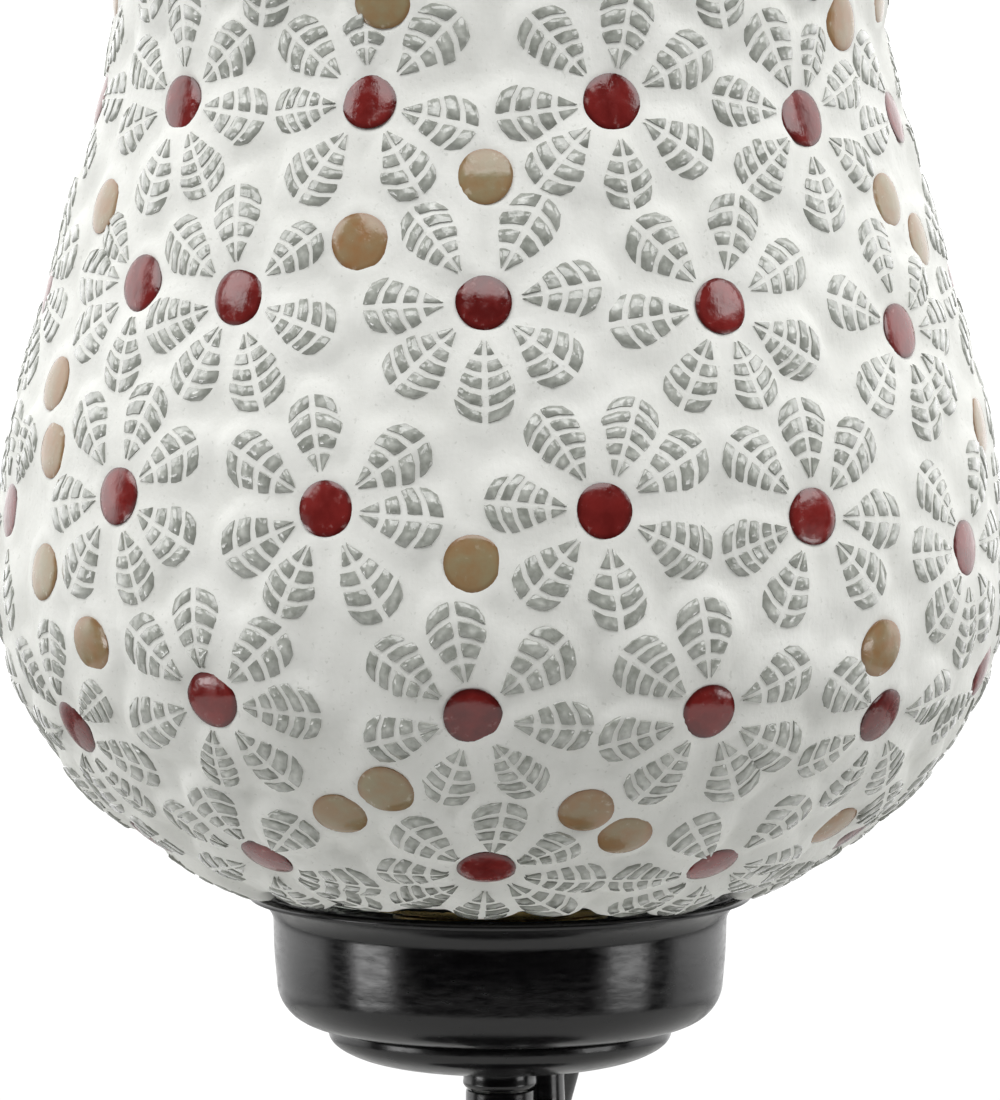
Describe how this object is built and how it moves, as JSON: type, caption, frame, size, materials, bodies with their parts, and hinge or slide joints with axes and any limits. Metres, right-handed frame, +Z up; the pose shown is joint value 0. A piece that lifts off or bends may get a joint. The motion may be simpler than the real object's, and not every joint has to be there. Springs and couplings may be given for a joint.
{
  "type": "mosaic glass table lamp",
  "caption": "Table lamp with a flared glass and plaster mosaic shade standing in a black metal cup on a slim stem over a round weighted base.",
  "frame": {"origin": "on the lamp's axis, on the surface that the felt pad stands on", "axes": "+Z up along the stem, the front faces -Y, and the cord grommet is at the rear, +Y"},
  "size_m": [0.1464, 0.1464, 0.34],
  "materials": {
    "base_felt": "dense dark green felt",
    "raw_iron": "rough casting",
    "black_metal": "gloss black powder coat",
    "black_rubber": "matt moulded rubber",
    "plated_steel": "zinc plated",
    "holder_brass": "pressed brass, lightly tarnished",
    "porcelain": "white glazed porcelain",
    "black_vitrite": "black cap insulator, glossy",
    "solder": "dull solder",
    "pearl_glass": "pearl bulb glass",
    "clear_glass": "clear blown glass",
    "tungsten": "bare wire",
    "white_plaster": "matt white plaster, brushed by hand"
  },
  "bodies": {
    "stand": {"felt_pad": "base_felt", "ballast_weight": "raw_iron", "base_cover": "black_metal", "cord_grommet": "black_rubber", "foot_washer": "plated_steel", "foot_nut": "plated_steel", "foot_collar": "black_metal", "threaded_rod": "plated_steel", "stem_tube": "black_metal", "stem_top_collar": "black_metal", "side_stalk_right": "black_metal", "side_stalk_left": "black_metal", "cup_dish": "black_metal", "gallery_cup": "black_metal", "cup_washer": "plated_steel", "cup_lock_nut": "plated_steel", "shade_gasket": "black_rubber", "holder_cap": "holder_brass", "holder_shell": "holder_brass", "holder_ring": "holder_brass", "holder_insulator": "porcelain", "terminal_screw_front": "holder_brass", "terminal_screw_rear": "holder_brass", "plunger_spring_front": "plated_steel", "plunger_spring_rear": "plated_steel"},
    "shade": {"shade_glass": "clear_glass", "plaster_coat": "white_plaster"},
    "bulb": {"bulb_cap": "holder_brass", "bayonet_pin_left": "holder_brass", "bayonet_pin_right": "holder_brass", "bulb_insulator": "black_vitrite", "bulb_contact_front": "solder", "bulb_contact_rear": "solder", "bulb_glass": "pearl_glass", "bulb_mount": "clear_glass", "bulb_filament": "tungsten"},
    "plunger_front": {"contact_plunger_front": "holder_brass"},
    "plunger_rear": {"contact_plunger_rear": "holder_brass"}
  },
  "joints": [
    {"name": "shade_lift", "type": "slide", "parent": "stand", "child": "shade", "axis": [0, 0, 1], "range_m": [0, 0.18]},
    {"name": "bulb_lift", "type": "slide", "parent": "stand", "child": "bulb", "axis": [0, 0, 1], "range_m": [0, 0.17]},
    {"name": "front_plunger_slide", "type": "slide", "parent": "stand", "child": "plunger_front", "axis": [0, 0, 1], "range_m": [-0.0022, 0], "stiffness_N_per_m": 600, "deforming": ["plunger_spring_front"]},
    {"name": "rear_plunger_slide", "type": "slide", "parent": "stand", "child": "plunger_rear", "axis": [0, 0, 1], "range_m": [-0.0022, 0], "stiffness_N_per_m": 600, "deforming": ["plunger_spring_rear"]}
  ],
  "couplings": [
    {"joint": "rear_plunger_slide", "follows": "front_plunger_slide", "ratio": 1}
  ]
}
